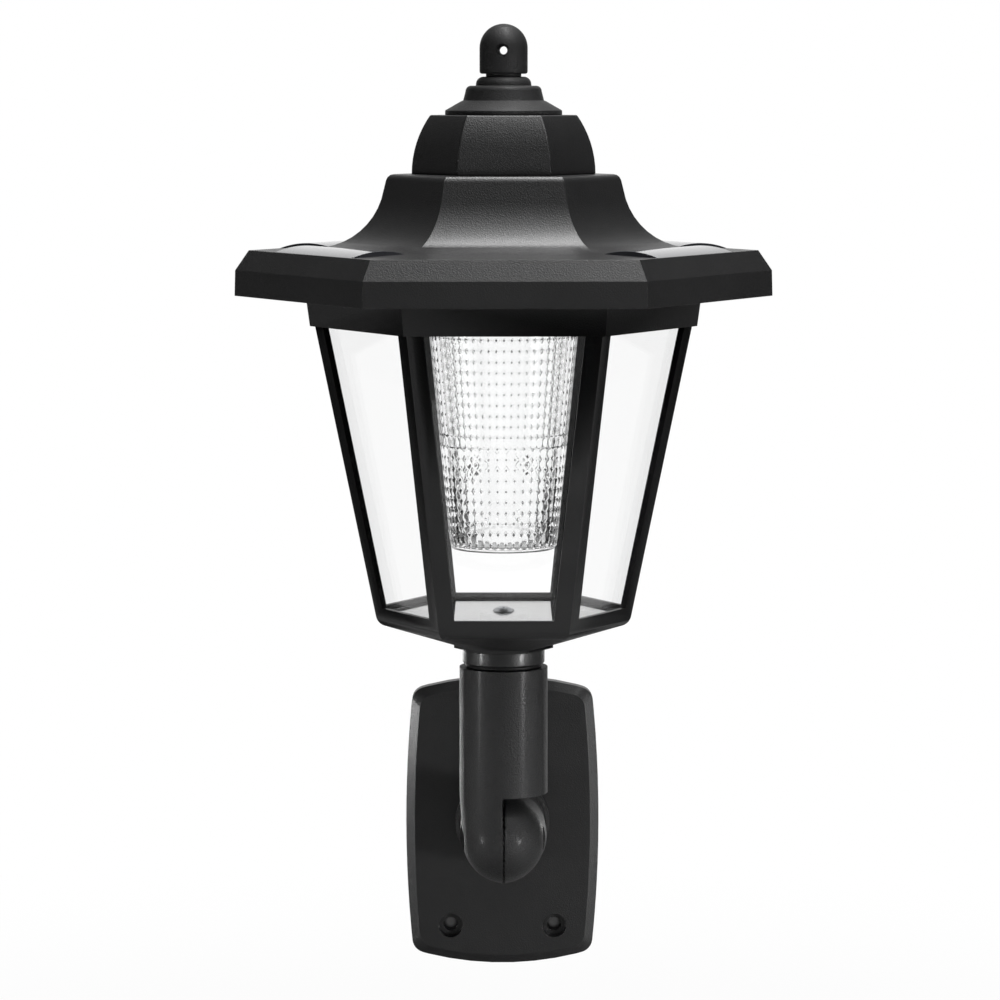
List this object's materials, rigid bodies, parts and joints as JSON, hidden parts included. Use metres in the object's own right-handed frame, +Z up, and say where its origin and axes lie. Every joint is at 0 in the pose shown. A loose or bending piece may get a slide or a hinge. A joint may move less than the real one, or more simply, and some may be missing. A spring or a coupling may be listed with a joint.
{
  "type": "solar wall lantern",
  "caption": "Hexagonal solar wall lantern with a flared roof, arched solar panels, clear tapered body and prism diffuser on a tilting wall bracket.",
  "frame": {"origin": "centre of the wall plate's back face, where it lies on the wall", "axes": "+Z up, +Y into the wall, +X to the right as seen from in front of the wall"},
  "size_m": [0.156, 0.1425, 0.2906],
  "materials": {
    "black_plastic": "fine pebbled satin black injection moulding",
    "clear_plastic": "clear glossy moulding, slightly wavy",
    "prism_plastic": "clear moulding covered with small prisms",
    "steel": "zinc-plated steel screw",
    "spring_steel": "nickel-plated spring strip",
    "switch_case": "dark moulded case",
    "pale_plastic": "pale moulded knob",
    "board": "green solder mask on glass fibre board",
    "led_lens": "clear warm-white lens",
    "battery_sleeve": "shrink sleeve over a steel can",
    "red_wire": "flexible insulation",
    "black_wire": "flexible insulation",
    "solar_cell": "dark amorphous silicon cell with fine stripes",
    "solar_cover": "dark glossy arched cover"
  },
  "bodies": {
    "bracket": {"wall_plate": "black_plastic", "bracket_arm": "black_plastic", "arm_screws": "steel"},
    "post": {"post_tube": "black_plastic", "tilt_screw": "steel", "tilt_nut": "steel"},
    "lantern": {"lantern_frame": "black_plastic", "clear_liner": "clear_plastic", "neck_spigot": "black_plastic", "floor_screw": "steel"},
    "roof": {"lamp_tray": "black_plastic", "tray_screws": "steel", "switch_body": "switch_case", "circuit_board": "board", "board_screws": "steel", "led": "led_lens", "battery": "battery_sleeve", "battery_contacts": "spring_steel", "battery_wires": "red_wire", "solar_wires": "black_wire", "roof_canopy": "black_plastic", "solar_cell_front_left": "solar_cell", "solar_cell_front_right": "solar_cell", "solar_cell_back_left": "solar_cell", "solar_cell_back_right": "solar_cell", "solar_cover_front_left": "solar_cover", "solar_cover_front_right": "solar_cover", "solar_cover_back_left": "solar_cover", "solar_cover_back_right": "solar_cover", "dome_cap": "black_plastic", "top_collar": "black_plastic", "hanging_finial": "black_plastic", "finial_screw": "steel"},
    "switch": {"switch_slider": "pale_plastic"},
    "diffuser": {"diffuser_cup": "prism_plastic"}
  },
  "joints": [
    {"name": "arm_tilt", "type": "hinge", "parent": "bracket", "child": "post", "pos_m": [0, -0.075, 0.0076], "axis": [1, 0, 0], "range_deg": [0, 90]},
    {"name": "head_swivel", "type": "hinge", "parent": "post", "child": "lantern", "pos_m": [0, -0.075, 0.0588], "axis": [0, 0, 1], "range_deg": [-180, 180]},
    {"name": "roof_lift", "type": "slide", "parent": "lantern", "child": "roof", "axis": [0, 0, 1], "range_m": [0, 0.09]},
    {"name": "diffuser_twist", "type": "hinge", "parent": "roof", "child": "diffuser", "pos_m": [0, -0.075, 0.1661], "axis": [0, 0, 1], "range_deg": [-36, 0]},
    {"name": "switch_slide", "type": "slide", "parent": "roof", "child": "switch", "axis": [1, 0, 0], "range_m": [0, 0.002]}
  ]
}
